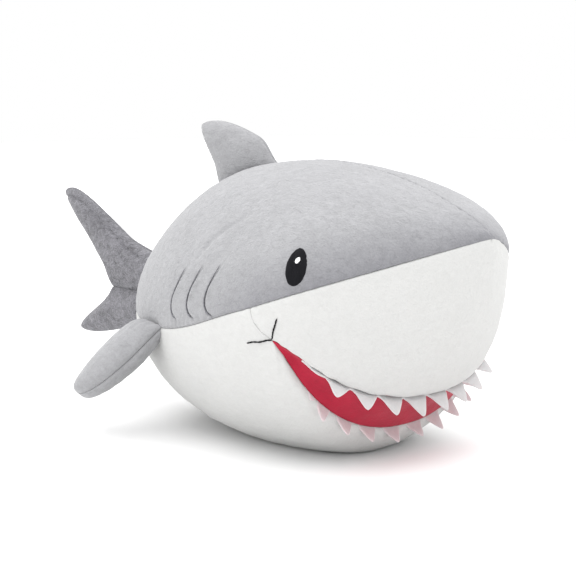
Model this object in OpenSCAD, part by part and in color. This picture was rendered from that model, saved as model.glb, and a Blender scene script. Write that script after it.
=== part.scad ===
// Plush shark: sewn fabric panels over stuffing, felt teeth, embroidered eyes and soft, hinged fins.
// Frame: +Z up, nose towards -Y, the shark's own right side towards -X.
// Origin: on the floor under the belly. Lengths are millimetres, angles are degrees.

/* [Body] */
// Length of the stuffed body, from the nose to the tail root
body_len = 295; // [280:1:310]
// Distance of the nose tip ahead of the origin
nose_ahead = 151; // [140:1:160]
// Half of the greatest width, measured at the side seam
half_w = 97.3; // [92:0.1:102]
// Height of the back above the side seam at its highest place
back_h = 96.1; // [91:0.1:101]
// Depth of the belly below the side seam before the floor flattens it
belly_depth = 103.5; // [99:0.5:108]
// Height of the side seam at the nose
nose_z = 139; // [135:0.5:143]
// Height of the side seam half way along the body
mid_z = 86.3; // [83:0.1:90]
// Height of the side seam at the tail root
tail_z = 79.5; // [76:0.5:83]
// Angle by which the grey side panels reach below the widest line near the tail
seam_drop = 3.6; // [0:0.1:5]
// How softly the belly rounds into its flat resting place
floor_blend = 2.6; // [2:0.1:5]

/* [Fabric] */
// Thickness of the plush fabric
fabric_t = 2; // [1.5:0.1:2.5]
// Space between one layer and the next
layer_gap = 0.5; // [0.4:0.1:0.6]
// Space between two panels at a seam
seam_gap = 0.3; // [0.2:0.05:0.4]

/* [Mouth] */
// Distance of the mouth corners behind the nose
corner_d = 84.5; // [82:0.5:87]
// Angle of the mouth corners below the side seam
corner_a = 11.8; // [11:0.2:13]
// How far the upper lip reaches forward of the corners
upper_reach = 41.8; // [39:0.2:44]
// How far the lower lip reaches forward of the corners
lower_reach = 22.7; // [20:0.1:25]
// How far the cheek seam leans back from the corner to the side seam
cheek_lean = 14.8; // [10:0.2:18]
// Depth of the lining behind the lips
mouth_depth = 6; // [4:0.5:8]

/* [Teeth] */
// Thickness of the felt
felt_t = 1.8; // [1.2:0.1:2]
// Length of an upper tooth
upper_tooth = 12; // [10:0.5:14]
// Length of a lower tooth
lower_tooth = 10.5; // [9:0.5:12]
// Spacing of the upper teeth along the lip
upper_pitch = 18.2; // [17:0.1:19]
// Spacing of the lower teeth along the lip
lower_pitch = 17.3; // [16.5:0.1:18]
// Teeth on each side of the middle tooth
side_teeth = 5; // [4:1:5]

/* [Eyes] */
// Height of an embroidered eye
eye_h = 23; // [20:0.5:26]
// Width of an embroidered eye
eye_w = 12.6; // [11:0.1:15]
// Distance of the eyes behind the nose
eye_d = 69.8; // [67:0.2:73]
// Angle of the eyes above the side seam
eye_a = 15.6; // [14:0.2:17]
// How far the embroidery stands proud of the fabric
eye_rise = 1.4; // [1:0.1:2]
// Size of the white glint in each eye
glint_size = 3.6; // [3:0.1:5]

/* [Stitching] */
// Thickness of the stitched lines
thread_d = 1.6; // [1.2:0.1:2]
// Distance of the first gill line behind the nose
gill_d = 136; // [132:1:140]
// Spacing of the gill lines
gill_pitch = 19; // [17:0.5:21]
// Angle that each gill line covers above the side seam
gill_span = 20; // [16:1:24]
// How far each gill line bows towards the tail
gill_bow = 7; // [4:0.5:9]

/* [Fins] */
// Half of the dorsal fin's greatest thickness
dorsal_t = 10; // [8:0.5:12]
// Half of a pectoral fin's greatest thickness
pectoral_t = 13.5; // [11:0.5:14]
// Half of a tail lobe's greatest thickness
tail_t = 9; // [7:0.5:10]
// Length of a pectoral fin from root to tip
pectoral_len = 64.5; // [60:0.5:70]
// Length of a pectoral fin's root
pectoral_root = 34; // [30:1:38]
// Space between a fin's root and the body that it is sewn to
root_gap = 2.8; // [2.6:0.1:3.4]

/* [Hidden] */

GREY = [0.72, 0.72, 0.74];
WHITE = [0.95, 0.95, 0.94];
CRIMSON = [0.72, 0.12, 0.22];
FELT = [0.88, 0.87, 0.88];
BLACK = [0.08, 0.08, 0.09];
STUFFING = [0.98, 0.97, 0.9];

// Each outline: where it peaks behind the nose, then the curve powers ahead of the peak and behind it
TOP_OUTLINE = [184, [2.15, 1.07], [2, 1.39]];
BELLY_OUTLINE = [87.5, [1.39, 1.8], [1.23, 2.62]];
SIDE_OUTLINE = [90, [1.94, 1.03], [2, 2.31]];
// Powers of the body's rounded cross-section: the back, the belly at the nose, the belly at its peak
BACK_ROUND = 1.88;
CHIN_ROUND = 2.72;
BELLY_ROUND = 2.07;

EYE_GAP = 0.5;
LINING_EDGE = felt_t + 2 * seam_gap;
CORE_INSET = fabric_t + 2.4 * layer_gap;
LINING_INSET = 2.2;
SEAM_A = 0.15;
// The side seam leaves the widest line between these distances behind the nose
DROP_FROM = 145;
DROP_TO = 190;

// ---- Curves ----

function mix(a, b, t) = a + (b - a) * t;
function clamp01(x) = max(0, min(1, x));
function signed_pow(x, p) = sign(x) * pow(abs(x), p);
function bump(t) = sin(180 * clamp01(t));
function smooth(t) = let (c = clamp01(t)) c * c * (3 - 2 * c);
function unit(v) = v / norm(v);

function bezier(c, t) =
    c[0] * pow(1 - t, 3) + 3 * c[1] * t * pow(1 - t, 2) + 3 * c[2] * t * t * (1 - t) + c[3] * pow(t, 3);

// A straight run from one point to another, written as a cubic curve
function straight(a, b) = [a, mix(a, b, 1 / 3), mix(a, b, 2 / 3), b];

// Cubic curves joined end to end, each with an equal share of t
function chain(curves, t) =
    let (n = len(curves), k = min(n - 1, floor(t * n)))
    bezier(curves[k], t * n - k);

function arc_length(p, i) = i == 0 ? 0 : arc_length(p, i - 1) + norm(p[i] - p[i - 1]);

// 1 at the outline's peak, falling to 0 at the nose and at the tail root
function outline(o, d) =
    let (ahead = d < o[0])
    let (s = ahead ? (o[0] - d) / o[0] : (d - o[0]) / (body_len - o[0]))
    let (p = ahead ? o[1] : o[2])
    pow(max(0, 1 - pow(s, p[0])), 1 / p[1]);

// Height of the side seam, d behind the nose
function seam_z(d) =
    let (t = d / body_len)
    nose_z * (1 - t) * (1 - 2 * t) + 4 * mid_z * t * (1 - t) + tail_z * t * (2 * t - 1);

function soft_floor(z) =
    z > floor_blend ? z : z < -floor_blend ? 0 : pow(z + floor_blend, 2) / (4 * floor_blend);

// A point of the body's surface, d behind the nose and t inside the fabric's face. The angle a runs
// round the body: 0 right side seam, 90 ridge of the back, 180 left side seam, -90 belly.
function skin(d, a, t = 0) =
    let (above = sin(a) >= 0)
    let (w = (half_w - t) * outline(SIDE_OUTLINE, d))
    let (h = above ? (back_h - t) * outline(TOP_OUTLINE, d) : (belly_depth - t) * outline(BELLY_OUTLINE, d))
    let (n = above ? BACK_ROUND : mix(CHIN_ROUND, BELLY_ROUND, clamp01(d / BELLY_OUTLINE[0])))
    let (z = seam_z(d) + h * signed_pow(sin(a), 2 / n))
    [-w * signed_pow(cos(a), 2 / n), t + d * (1 - 2 * t / body_len) - nose_ahead, t + soft_floor(z - t)];

// The side seam's angle below the widest line, and the angle below the seam of b, which runs from 0
// at the seam to 90 on the belly's middle line
function drop(d) = seam_drop * smooth((d - DROP_FROM) / (DROP_TO - DROP_FROM));
function under(b, d) = b + drop(d) * (1 - b / 90);

// Directions on the surface: towards the tail, round the body, and straight out
function tailwards(d, a) = unit(skin(d + 0.5, a) - skin(d - 0.5, a));
function outwards(d, a) = unit(cross(skin(d, a + 0.5) - skin(d, a - 0.5), tailwards(d, a)));
function mm_per_degree(d, a) = norm(skin(d, a + 0.5) - skin(d, a - 0.5));

// ---- Mouth outline: distances behind the nose, at b degrees below the side seam ----

function below_seam(a) = abs(a) > 90 ? 180 - abs(a) : abs(a);
function mouth_t(b) = clamp01((b - corner_a) / (90 - corner_a));
function upper_lip(b) = corner_d - upper_reach * sin(90 * pow(mouth_t(b), 0.68));
function lower_lip(b) = corner_d - lower_reach * sin(90 * pow(mouth_t(b), 0.72));
function cheek(b) = corner_d + cheek_lean * (1 - pow(b / corner_a, 1.6));
function muzzle_end(b) = (b < corner_a ? cheek(b) : upper_lip(b)) - seam_gap / 2;
function belly_start(b) = (b < corner_a ? cheek(b) : lower_lip(b)) + seam_gap / 2;
function lip_edge(b) = min(LINING_EDGE, (lower_lip(b) - upper_lip(b)) / 3);

// The stuffing is hollowed behind the mouth, with a margin round the lips
function hollow(d, a) =
    let (b = below_seam(a))
    let (along = min(d - upper_lip(b), lower_lip(b) - d) / 8 + 1)
    let (down = (b - corner_a) / 6 + 1)
    a < 0 ? (mouth_depth + LINING_INSET + layer_gap) * clamp01(along) * clamp01(down) : 0;

// Angles from one side seam to the other under the body, closer together at the mouth corners
function under_angles(cheek_steps, mouth_steps) =
    let (cheek_part = [for (i = [0:cheek_steps - 1]) mix(SEAM_A, corner_a, i / cheek_steps)])
    let (mouth_part = [for (i = [0:mouth_steps]) mix(corner_a, 90, i / mouth_steps)])
    let (half = concat(cheek_part, mouth_part))
    concat([for (b = half) -b], [for (i = [len(half) - 2:-1:0]) half[i] - 180]);

// ---- Solids from grids of points ----

function distinct(p, f) = p[f[0]] != p[f[1]] && p[f[1]] != p[f[2]] && p[f[2]] != p[f[0]];
function quad(a, b, c, d) = [[a, b, c], [a, c, d]];

// A closed layer of fabric between an outer and an inner grid of points
module layer(outer, inner) {
    rows = len(outer);
    cols = len(outer[0]);
    count = rows * cols;
    points = concat([for (r = outer) each r], [for (r = inner) each r]);
    rim = concat(
        [for (j = [0:cols - 1]) j],
        [for (i = [1:rows - 1]) i * cols + cols - 1],
        [for (j = [cols - 2:-1:0]) (rows - 1) * cols + j],
        [for (i = [rows - 2:-1:0]) i * cols]
    );
    top = [
        for (i = [0:rows - 2], j = [0:cols - 2])
            each quad(i * cols + j, i * cols + j + 1, (i + 1) * cols + j + 1, (i + 1) * cols + j)
    ];
    under = [for (f = top) [f[0] + count, f[2] + count, f[1] + count]];
    edge = [for (k = [0:len(rim) - 2]) each quad(rim[k + 1], rim[k], rim[k] + count, rim[k + 1] + count)];
    polyhedron(points, [for (f = concat(top, under, edge)) if (distinct(points, f)) f]);
}

// A solid through closed rings of points, with a flat cap on each end that isn't already a point
module rings(grid) {
    rows = len(grid);
    cols = len(grid[0]);
    last = (rows - 1) * cols;
    points = [for (r = grid) each r];
    wall = [
        for (i = [0:rows - 2], j = [0:cols - 1])
            let (k = (j + 1) % cols)
            each quad(i * cols + j, (i + 1) * cols + j, (i + 1) * cols + k, i * cols + k)
    ];
    caps = [for (j = [1:cols - 2]) each [[0, j, j + 1], [last, last + j + 1, last + j]]];
    polyhedron(points, [for (f = concat(wall, caps)) if (distinct(points, f)) f]);
}

// A round thread through a list of points
module thread(path, r, sides = 6) {
    n = len(path) - 1;
    rings([
        for (i = [0:n])
            let (along = unit(path[min(n, i + 1)] - path[max(0, i - 1)]))
            let (side = unit(cross(along, [0.3, 0.2, 0.9])))
            let (up = cross(along, side))
            let (taper = (i == 0 || i == n) ? 0.5 : 1)
            [
                for (k = [0:sides - 1])
                    path[i] + r * taper * (cos(360 * k / sides) * side + sin(360 * k / sides) * up)
            ]
    ]);
}

// ---- Body ----

module body_stuffing() {
    ring_count = 32;
    around = 40;
    color(STUFFING)
    rings([
        for (i = [0:ring_count])
            let (d = body_len * (1 - cos(180 * i / ring_count)) / 2)
            [for (j = [0:around - 1]) let (a = 360 * j / around - 180) skin(d, a, CORE_INSET + hollow(d, a))]
    ]);
}

module back_panel_right() {
    function grid(t) = [
        for (i = [0:12])
            [
                for (j = [0:34])
                    let (d = body_len * (1 - cos(180 * j / 34)) / 2)
                    skin(d, mix(SEAM_A - drop(d), 90, i / 12), t)
            ]
    ];
    color(GREY) translate([-seam_gap / 2, 0, 0]) layer(grid(0), grid(fabric_t));
}

module back_panel_left() mirror([1, 0, 0]) back_panel_right();

module muzzle_panel() {
    function grid(t) = [
        for (a = under_angles(3, 13))
            [for (j = [0:12]) skin(muzzle_end(below_seam(a)) * (1 - cos(90 * j / 12)), a, t)]
    ];
    color(WHITE) layer(reverse(grid(0)), reverse(grid(fabric_t)));
}

module belly_panel() {
    function grid(t) = [
        for (a = under_angles(3, 13))
            let (b = below_seam(a), start = belly_start(b))
            [
                for (j = [0:22])
                    let (d = mix(start, body_len, sin(90 * j / 22)))
                    skin(d, a > -90 ? -under(b, d) : under(b, d) - 180, t)
            ]
    ];
    color(WHITE) layer(reverse(grid(0)), reverse(grid(fabric_t)));
}

function reverse(list) = [for (i = [len(list) - 1:-1:0]) list[i]];

module mouth_lining() {
    function grid(t) = [
        for (i = [-16:16])
            let (b = mix(90, corner_a, abs(i) / 16), a = i <= 0 ? -b : b - 180)
            let (start = upper_lip(b) + lip_edge(b), end = lower_lip(b) - lip_edge(b))
            [
                for (j = [0:6])
                    let (depth = LINING_INSET + mouth_depth * bump(j / 6) * sin(90 * mouth_t(b)))
                    skin(mix(start, end, j / 6), a, depth + t)
            ]
    ];
    color(CRIMSON) layer(reverse(grid(0)), reverse(grid(fabric_t)));
}

// A felt strip of pointed teeth, sewn in along a lip and flaring out of the seam. way is 1 where the
// lining lies behind the lip and -1 where it lies ahead; lean tilts the teeth towards the belly.
module teeth(way, length, pitch, lean) {
    steps = 60;
    base = pitch * 0.86;
    function line(b) = (way > 0 ? upper_lip(b) : lower_lip(b)) + way * lip_edge(b) / 2;
    angles = [for (i = [0:steps]) mix(90, corner_a + 1, i / steps)];
    lip = [for (b = angles) skin(line(b), -b)];
    angle_at = [for (i = [0:steps]) [arc_length(lip, i), angles[i]]];
    places = [
        for (k = [-side_teeth:side_teeth], f = [-0.5, -0.28, 0, 0.28, 0.5])
            let (size = abs(k) == side_teeth ? 0.5 : 1)
            [k * pitch + f * base * size, length * size * (1 - pow(abs(2 * f), 1.15))]
    ];
    function face(side) = [
        for (p = places)
            let (b = lookup(abs(p[0]), angle_at), a = p[0] <= 0 ? -b : b - 180, d = line(b))
            let (out = outwards(d, a), back = tailwards(d, a), half = side * back * felt_t / 2)
            let (point = unit(out + lean * back) * (0.8 + p[1]))
            [skin(d, a, 1.8) + half, skin(d, a) + half, skin(d, a) + point + half * 0.8]
    ];
    color(FELT) layer(face(1), face(-1));
}

module upper_teeth() teeth(1, upper_tooth, upper_pitch, 0.5);
module lower_teeth() teeth(-1, lower_tooth, lower_pitch, -0.4);

// ---- Embroidery ----

// A padded oval of stitching on the right side, from its lower to its upper height over the fabric
module oval(d, a, width, height, low, high) {
    sides = 20;
    scale_a = mm_per_degree(d, a);
    function at(r, k, rise) =
        let (x = width / 2 * cos(360 * k / sides), y = height / 2 * sin(360 * k / sides))
        skin(d + r * x, a + r * y / scale_a, -rise);
    function ring(r, rise) = [for (k = [0:sides - 1]) at(r, k, rise)];
    rings([ring(0, high), ring(0.5, high), ring(0.94, mix(low, high, 0.7)), ring(1, low), ring(0, low)]);
}

module eye_right() color(BLACK) oval(eye_d, eye_a, eye_w, eye_h, EYE_GAP, EYE_GAP + eye_rise);
module eye_left() mirror([1, 0, 0]) eye_right();

module eye_glint_right() {
    top = EYE_GAP + eye_rise + 0.3;
    color(WHITE) oval(eye_d, eye_a + 3.8, glint_size, glint_size * 1.15, top, top + 0.8);
}

module eye_glint_left() mirror([1, 0, 0]) eye_glint_right();

module gill_stitches_right() {
    steps = 9;
    lift = -thread_d / 2 - 0.2;
    color(GREY * 0.8)
    for (g = [0:2])
        thread([
            for (i = [0:steps])
                let (t = i / steps)
                skin(gill_d + g * (gill_pitch + 1.5 * (1 - t)) + gill_bow * bump(t), 1 + gill_span * t, lift)
        ], thread_d / 2);
}

module gill_stitches_left() mirror([1, 0, 0]) gill_stitches_right();

// Two short lines that meet at the mouth corner: one runs back, one runs up and forward
module mouth_corner_stitches_right() {
    lift = -thread_d / 2 - 0.2;
    function back(t) = skin(corner_d + 2 + 17.5 * t, 1.2 * t + 0.3 * sin(500 * t) - corner_a, lift);
    function up(t) = skin(corner_d - 1.5 - 5 * t, 1.4 + 4.8 * t - corner_a, lift);
    color(BLACK) {
        thread([for (t = [0:0.2:1]) back(t)], thread_d / 2);
        thread([for (t = [0:0.2:1]) up(t)], thread_d / 2);
    }
}

module mouth_corner_stitches_left() mirror([1, 0, 0]) mouth_corner_stitches_right();

// ---- Fins ----

// A fin is [origin, chord direction, span direction, leading edge, trailing edge, half thickness, root
// half thickness, share of the span over which the root fills out]. Each edge is a chain of cubic
// curves of [chord, span] points, from the root to the tip.
function fin_normal(fin) = unit(cross(fin[2], fin[1]));
function fin_half_t(fin, s, r) =
    mix(fin[6], fin[5], sin(90 * clamp01(r / fin[7]))) * (1 - 0.5 * r * r) * pow(4 * s * (1 - s), 0.6);
function fin_point(fin, s, r, w) =
    let (p = mix(chain(fin[3], r), chain(fin[4], r), s))
    fin[0] + fin[1] * p[0] + fin[2] * p[1] + fin_normal(fin) * w;

// The last row of points stops just short of the tip, so that the tip is a narrow edge
FIN_END = 0.985;

// One of a fin's two fabric panels: side is 1 along the fin's normal and -1 against it
module fin_panel(fin, side) {
    function grid(inset) = [
        for (i = [0:10])
            let (r = FIN_END * sin(90 * i / 10))
            [
                for (j = [0:12])
                    let (s = (1 - cos(180 * j / 12)) / 2)
                    let (out = seam_gap / 2 + max(fabric_t, fin_half_t(fin, s, r)) - inset)
                    fin_point(fin, s, r, side * out)
            ]
    ];
    outer = side > 0 ? grid(0) : reverse(grid(0));
    inner = side > 0 ? grid(fabric_t) : reverse(grid(fabric_t));
    color(GREY) layer(outer, inner);
}

module fin_stuffing(fin) {
    function half(side, j, r) =
        let (s = mix(0.16, 0.84, (1 - cos(180 * j / 8)) / 2))
        fin_point(fin, s, r, side * max(0.2, fin_half_t(fin, s, r) - CORE_INSET));
    color(STUFFING)
    rings([
        for (i = [0:8])
            let (r = mix(0.12, 0.84, i / 8))
            concat([for (j = [0:8]) half(-1, j, r)], [for (j = [7:-1:1]) half(1, j, r)])
    ]);
}

// Fins in the middle plane take [y, z] points: their origin is the model's, their normal is -X
function middle_fin(lead, trail, t, fill) = [[0, 0, 0], [0, 1, 0], [0, 0, 1], lead, trail, t, 1.4, fill];

// The dorsal fin's root is a straight line that clears the curved ridge by root_gap at its middle
function ridge(y) = skin(y + nose_ahead, 90)[2];
DORSAL_Y = [30, 86];
DORSAL_BOW = ridge(58) - (ridge(DORSAL_Y[0]) + ridge(DORSAL_Y[1])) / 2;
DORSAL_FRONT = [DORSAL_Y[0], ridge(DORSAL_Y[0]) + DORSAL_BOW + root_gap - 1];
DORSAL_REAR = [DORSAL_Y[1], ridge(DORSAL_Y[1]) + DORSAL_BOW + root_gap - 1];
DORSAL_TIP = [105, 200];
DORSAL_FIN = middle_fin(
    [[DORSAL_FRONT, [44, 192], [92, 210], DORSAL_TIP]],
    [[DORSAL_REAR, [91, 175], [106, 191], DORSAL_TIP]],
    dorsal_t, 0.25
);

TAIL_Y = body_len - nose_ahead + root_gap;
NOTCH = [218, 76];
UPPER_TIP = [279, 144];
LOWER_TIP = [262, 39];
UPPER_LOBE = middle_fin(
    [[[TAIL_Y, 90], [200, 115], [262, 158], UPPER_TIP]],
    [straight([TAIL_Y, 77], NOTCH + [0, 0.5]), [NOTCH + [0, 0.5], [226, 96], [274, 136], UPPER_TIP]],
    tail_t, 0.15
);
LOWER_LOBE = middle_fin(
    [straight([TAIL_Y, 76], NOTCH - [0, 0.5]), [NOTCH - [0, 0.5], [226, 62], [262, 48], LOWER_TIP]],
    [[[TAIL_Y, 62], [190, 46], [248, 31], LOWER_TIP]],
    tail_t, 0.15
);

// The right pectoral fin's root runs back along the side seam, and its span droops outwards
function root_point(d, a) = skin(d, a) + root_gap * outwards(d, a);
PECTORAL_D = 197;
PECTORAL_FRONT = root_point(PECTORAL_D, -seam_drop);
PECTORAL_REAR = root_point(PECTORAL_D + pectoral_root, -5);
PECTORAL_LEAD = [[0, 0], [-10, 0.35 * pectoral_len], [-1.5, pectoral_len + 1], [26, pectoral_len]];
PECTORAL_TRAIL = [
    [norm(PECTORAL_REAR - PECTORAL_FRONT), 0],
    [pectoral_root + 5, 0.35 * pectoral_len],
    [43, pectoral_len - 1],
    [26, pectoral_len]
];
PECTORAL_FIN = [
    PECTORAL_FRONT,
    unit(PECTORAL_REAR - PECTORAL_FRONT),
    unit([-0.6, 0.6, -0.84]),
    [PECTORAL_LEAD],
    [PECTORAL_TRAIL],
    pectoral_t, 1.6, 0.38
];

module dorsal_fin_right_panel() fin_panel(DORSAL_FIN, 1);
module dorsal_fin_left_panel() fin_panel(DORSAL_FIN, -1);
module dorsal_fin_stuffing() fin_stuffing(DORSAL_FIN);

module pectoral_fin_right_upper_panel() fin_panel(PECTORAL_FIN, -1);
module pectoral_fin_right_lower_panel() fin_panel(PECTORAL_FIN, 1);
module pectoral_fin_right_stuffing() fin_stuffing(PECTORAL_FIN);
module pectoral_fin_left_upper_panel() mirror([1, 0, 0]) pectoral_fin_right_upper_panel();
module pectoral_fin_left_lower_panel() mirror([1, 0, 0]) pectoral_fin_right_lower_panel();
module pectoral_fin_left_stuffing() mirror([1, 0, 0]) pectoral_fin_right_stuffing();

module tail_upper_lobe_right_panel() fin_panel(UPPER_LOBE, 1);
module tail_upper_lobe_left_panel() fin_panel(UPPER_LOBE, -1);
module tail_upper_lobe_stuffing() fin_stuffing(UPPER_LOBE);
module tail_lower_lobe_right_panel() fin_panel(LOWER_LOBE, 1);
module tail_lower_lobe_left_panel() fin_panel(LOWER_LOBE, -1);
module tail_lower_lobe_stuffing() fin_stuffing(LOWER_LOBE);

body_stuffing();
back_panel_right();
back_panel_left();
muzzle_panel();
belly_panel();
mouth_lining();
upper_teeth();
lower_teeth();
eye_right();
eye_left();
eye_glint_right();
eye_glint_left();
gill_stitches_right();
gill_stitches_left();
mouth_corner_stitches_right();
mouth_corner_stitches_left();
dorsal_fin_right_panel();
dorsal_fin_left_panel();
dorsal_fin_stuffing();
pectoral_fin_right_upper_panel();
pectoral_fin_right_lower_panel();
pectoral_fin_right_stuffing();
pectoral_fin_left_upper_panel();
pectoral_fin_left_lower_panel();
pectoral_fin_left_stuffing();
tail_upper_lobe_right_panel();
tail_upper_lobe_left_panel();
tail_upper_lobe_stuffing();
tail_lower_lobe_right_panel();
tail_lower_lobe_left_panel();
tail_lower_lobe_stuffing();
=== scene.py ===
import math
import bmesh
import bpy
import numpy as np
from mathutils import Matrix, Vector


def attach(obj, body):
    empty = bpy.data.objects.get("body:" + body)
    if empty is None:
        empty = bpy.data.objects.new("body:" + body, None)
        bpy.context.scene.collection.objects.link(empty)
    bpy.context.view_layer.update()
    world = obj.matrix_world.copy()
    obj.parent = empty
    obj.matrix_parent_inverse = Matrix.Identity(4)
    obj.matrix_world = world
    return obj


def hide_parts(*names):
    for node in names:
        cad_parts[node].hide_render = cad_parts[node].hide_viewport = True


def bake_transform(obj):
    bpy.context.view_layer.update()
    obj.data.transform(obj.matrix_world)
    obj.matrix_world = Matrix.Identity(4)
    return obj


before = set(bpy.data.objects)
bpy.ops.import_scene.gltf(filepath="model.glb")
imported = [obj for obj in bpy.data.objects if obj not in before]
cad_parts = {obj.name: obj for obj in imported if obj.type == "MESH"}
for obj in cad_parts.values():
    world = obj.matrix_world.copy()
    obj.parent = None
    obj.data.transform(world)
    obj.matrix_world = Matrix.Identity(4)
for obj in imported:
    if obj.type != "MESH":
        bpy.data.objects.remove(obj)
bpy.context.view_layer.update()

# Lengths are millimetres until a mesh is made, and angles are degrees.
MM = 0.001

# ---- The body's surface, as in the CAD part ----

BODY_LEN = 295.0
NOSE_AHEAD = 151.0
HALF_W = 97.3
BACK_H = 96.1
BELLY_DEPTH = 103.5
NOSE_Z, MID_Z, TAIL_Z = 139.0, 86.3, 79.5
SEAM_DROP = 3.6
FLOOR_BLEND = 2.6
TOP_OUTLINE = (184.0, (2.15, 1.07), (2.0, 1.39))
BELLY_OUTLINE = (87.5, (1.39, 1.8), (1.23, 2.62))
SIDE_OUTLINE = (90.0, (1.94, 1.03), (2.0, 2.31))
BACK_ROUND, CHIN_ROUND, BELLY_ROUND = 1.88, 2.72, 2.07
NOSE_SOFT = 2.0
FABRIC_T = 2.0
ROOT_GAP = 2.8

CORNER_D, CORNER_A = 84.5, 11.8
UPPER_REACH, LOWER_REACH = 41.8, 20.4
CHEEK_LEAN = 14.8
EYE_D, EYE_A, EYE_W, EYE_H = 69.8, 15.4, 11.5, 24.2
GILL_D, GILL_PITCH, GILL_BOW, GILL_SPAN = 136.0, 19.0, 8.5, 21.5
GILLS = 3
CREASE_D, CREASE_A = 164.0, 25.0


def clamp01(x):
    return np.clip(x, 0.0, 1.0)


def smooth(x):
    x = clamp01(x)
    return x * x * (3 - 2 * x)


def mix(a, b, t):
    return a + (b - a) * t


def bump(t):
    return np.sin(np.pi * clamp01(t))


def bell(x, width):
    return np.exp(-((x / width) ** 2))


def unit(v):
    v = np.asarray(v, float)
    return v / np.maximum(np.linalg.norm(v, axis=-1, keepdims=True), 1e-12)


def signed_pow(x, p):
    return np.sign(x) * np.abs(x) ** p


def outline(o, d):
    ahead = d < o[0]
    s = clamp01(np.where(ahead, (o[0] - d) / o[0], (d - o[0]) / (BODY_LEN - o[0])))
    outer = np.where(ahead, o[1][0], o[2][0])
    inner = np.where(ahead, o[1][1], o[2][1])
    return np.maximum(0.0, 1 - s**outer) ** (1 / inner)


def seam_z(d):
    t = d / BODY_LEN
    return NOSE_Z * (1 - t) * (1 - 2 * t) + 4 * MID_Z * t * (1 - t) + TAIL_Z * t * (2 * t - 1)


def soft_floor(z):
    blend = (z + FLOOR_BLEND) ** 2 / (4 * FLOOR_BLEND)
    return np.where(z > FLOOR_BLEND, z, np.where(z < -FLOOR_BLEND, 0.0, blend))


def skin(d, a, t=0.0):
    """A point of the body's surface: d behind the nose, a degrees round from the right side seam, t deep."""
    d, a, t = np.broadcast_arrays(*(np.asarray(x, float) for x in (d, a, t)))
    sine, cosine = np.sin(np.radians(a)), np.cos(np.radians(a))
    above = sine >= 0
    e = np.sqrt(d * d + 2 * NOSE_SOFT * d) - NOSE_SOFT * smooth(d / 40)
    e = np.where(d > 60, d, e)
    width = (HALF_W - t) * outline(SIDE_OUTLINE, e)
    high = (BACK_H - t) * outline(TOP_OUTLINE, e)
    deep = (BELLY_DEPTH - t) * outline(BELLY_OUTLINE, d)
    power = np.where(above, BACK_ROUND, mix(CHIN_ROUND, BELLY_ROUND, clamp01(d / BELLY_OUTLINE[0])))
    z = seam_z(d) + np.where(above, high, deep) * signed_pow(sine, 2 / power)
    x = -width * signed_pow(cosine, 2 / power)
    return np.stack([x, t + d * (1 - 2 * t / BODY_LEN) - NOSE_AHEAD, t + soft_floor(z - t)], -1)


def tailwards(d, a):
    d = np.clip(d, 1.0, BODY_LEN - 1.0)
    return unit(skin(d + 0.5, a) - skin(d - 0.5, a))


def outwards(d, a):
    d = np.clip(d, 1.0, BODY_LEN - 1.0)
    return unit(np.cross(skin(d, a + 0.5) - skin(d, a - 0.5), tailwards(d, a)))


def mm_per_degree(d, a):
    return float(np.linalg.norm(skin(d, a + 0.5) - skin(d, a - 0.5)))


def drop(d):
    return SEAM_DROP * smooth((d - 112) / 88)


def mouth_t(b):
    return clamp01((b - CORNER_A) / (90 - CORNER_A))


def upper_lip(b):
    return CORNER_D - UPPER_REACH * np.sin(np.pi / 2 * mouth_t(b) ** 0.68)


def lower_lip(b):
    return CORNER_D - LOWER_REACH * np.sin(np.pi / 2 * mouth_t(b) ** 0.72)


def cheek(b):
    return CORNER_D + CHEEK_LEAN * (1 - clamp01(b / CORNER_A) ** 1.6)


def below_seam(a):
    return np.where(np.abs(a) > 90, 180 - np.abs(a), np.abs(a))


# ---- Noise with a fixed seed ----

TABLE = np.random.default_rng(7).random(4096)


def noise(p, size, seed=0):
    """Smooth noise from -1 to 1 at points p, with features about size across."""
    q = np.asarray(p, float) / size + seed * 17.3 + 500
    cell = np.floor(q).astype(np.int64)
    f = q - cell
    f = f * f * f * (f * (f * 6 - 15) + 10)
    total = np.zeros(q.shape[:-1])
    for corner in range(8):
        bit = [(corner >> k) & 1 for k in range(3)]
        c = cell + bit
        key = (c[..., 0] * 73856093 ^ c[..., 1] * 19349663 ^ c[..., 2] * 83492791) % 4096
        weight = np.ones(total.shape)
        for k in range(3):
            weight = weight * (f[..., k] if bit[k] else 1 - f[..., k])
        total += weight * TABLE[key]
    return 2 * total - 1


def lumps(p):
    """The gentle unevenness of stuffed fabric."""
    return 0.9 * noise(p, 55, 1) + 0.35 * noise(p, 22, 2)


def pile(p, amount=1.0):
    """The nap of short plush, which lies towards the tail."""
    q = p * np.array([1.0, 0.6, 1.0])
    return amount * (0.16 * noise(q, 4.2, 3) + 0.12 * noise(q, 2.1, 4))


# ---- Meshes ----


def spread(length, fine, coarse, zone=9.0, near_start=True, near_end=True):
    """Parameters from 0 to 1 along a length, closer together near the chosen ends."""
    x = [0.0]
    while x[-1] < length:
        edge = min(x[-1] if near_start else 1e9, length - x[-1] if near_end else 1e9)
        x.append(x[-1] + mix(fine, coarse, min(1.0, max(0.0, edge / zone))))
    return np.array(x) / x[-1]


def along(points, axis):
    """Arc length from the start of a grid along one axis."""
    step = np.linalg.norm(np.diff(points, axis=axis), axis=-1)
    total = np.cumsum(step, axis=axis)
    pad = [(0, 0), (0, 0)]
    pad[axis] = (1, 0)
    return np.pad(total, pad)


def edge_distances(points):
    """Distances of each grid point from the first row, last row, first column and last column."""
    rows, cols = along(points, 0), along(points, 1)
    return rows, rows[-1:] - rows, cols, cols[:, -1:] - cols


def roll(distance, radius, depth):
    """How far fabric turns in near a seam."""
    x = clamp01(distance / radius)
    return depth * (1 - np.sqrt(np.maximum(0.0, 1 - (1 - x) ** 2)))


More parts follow.
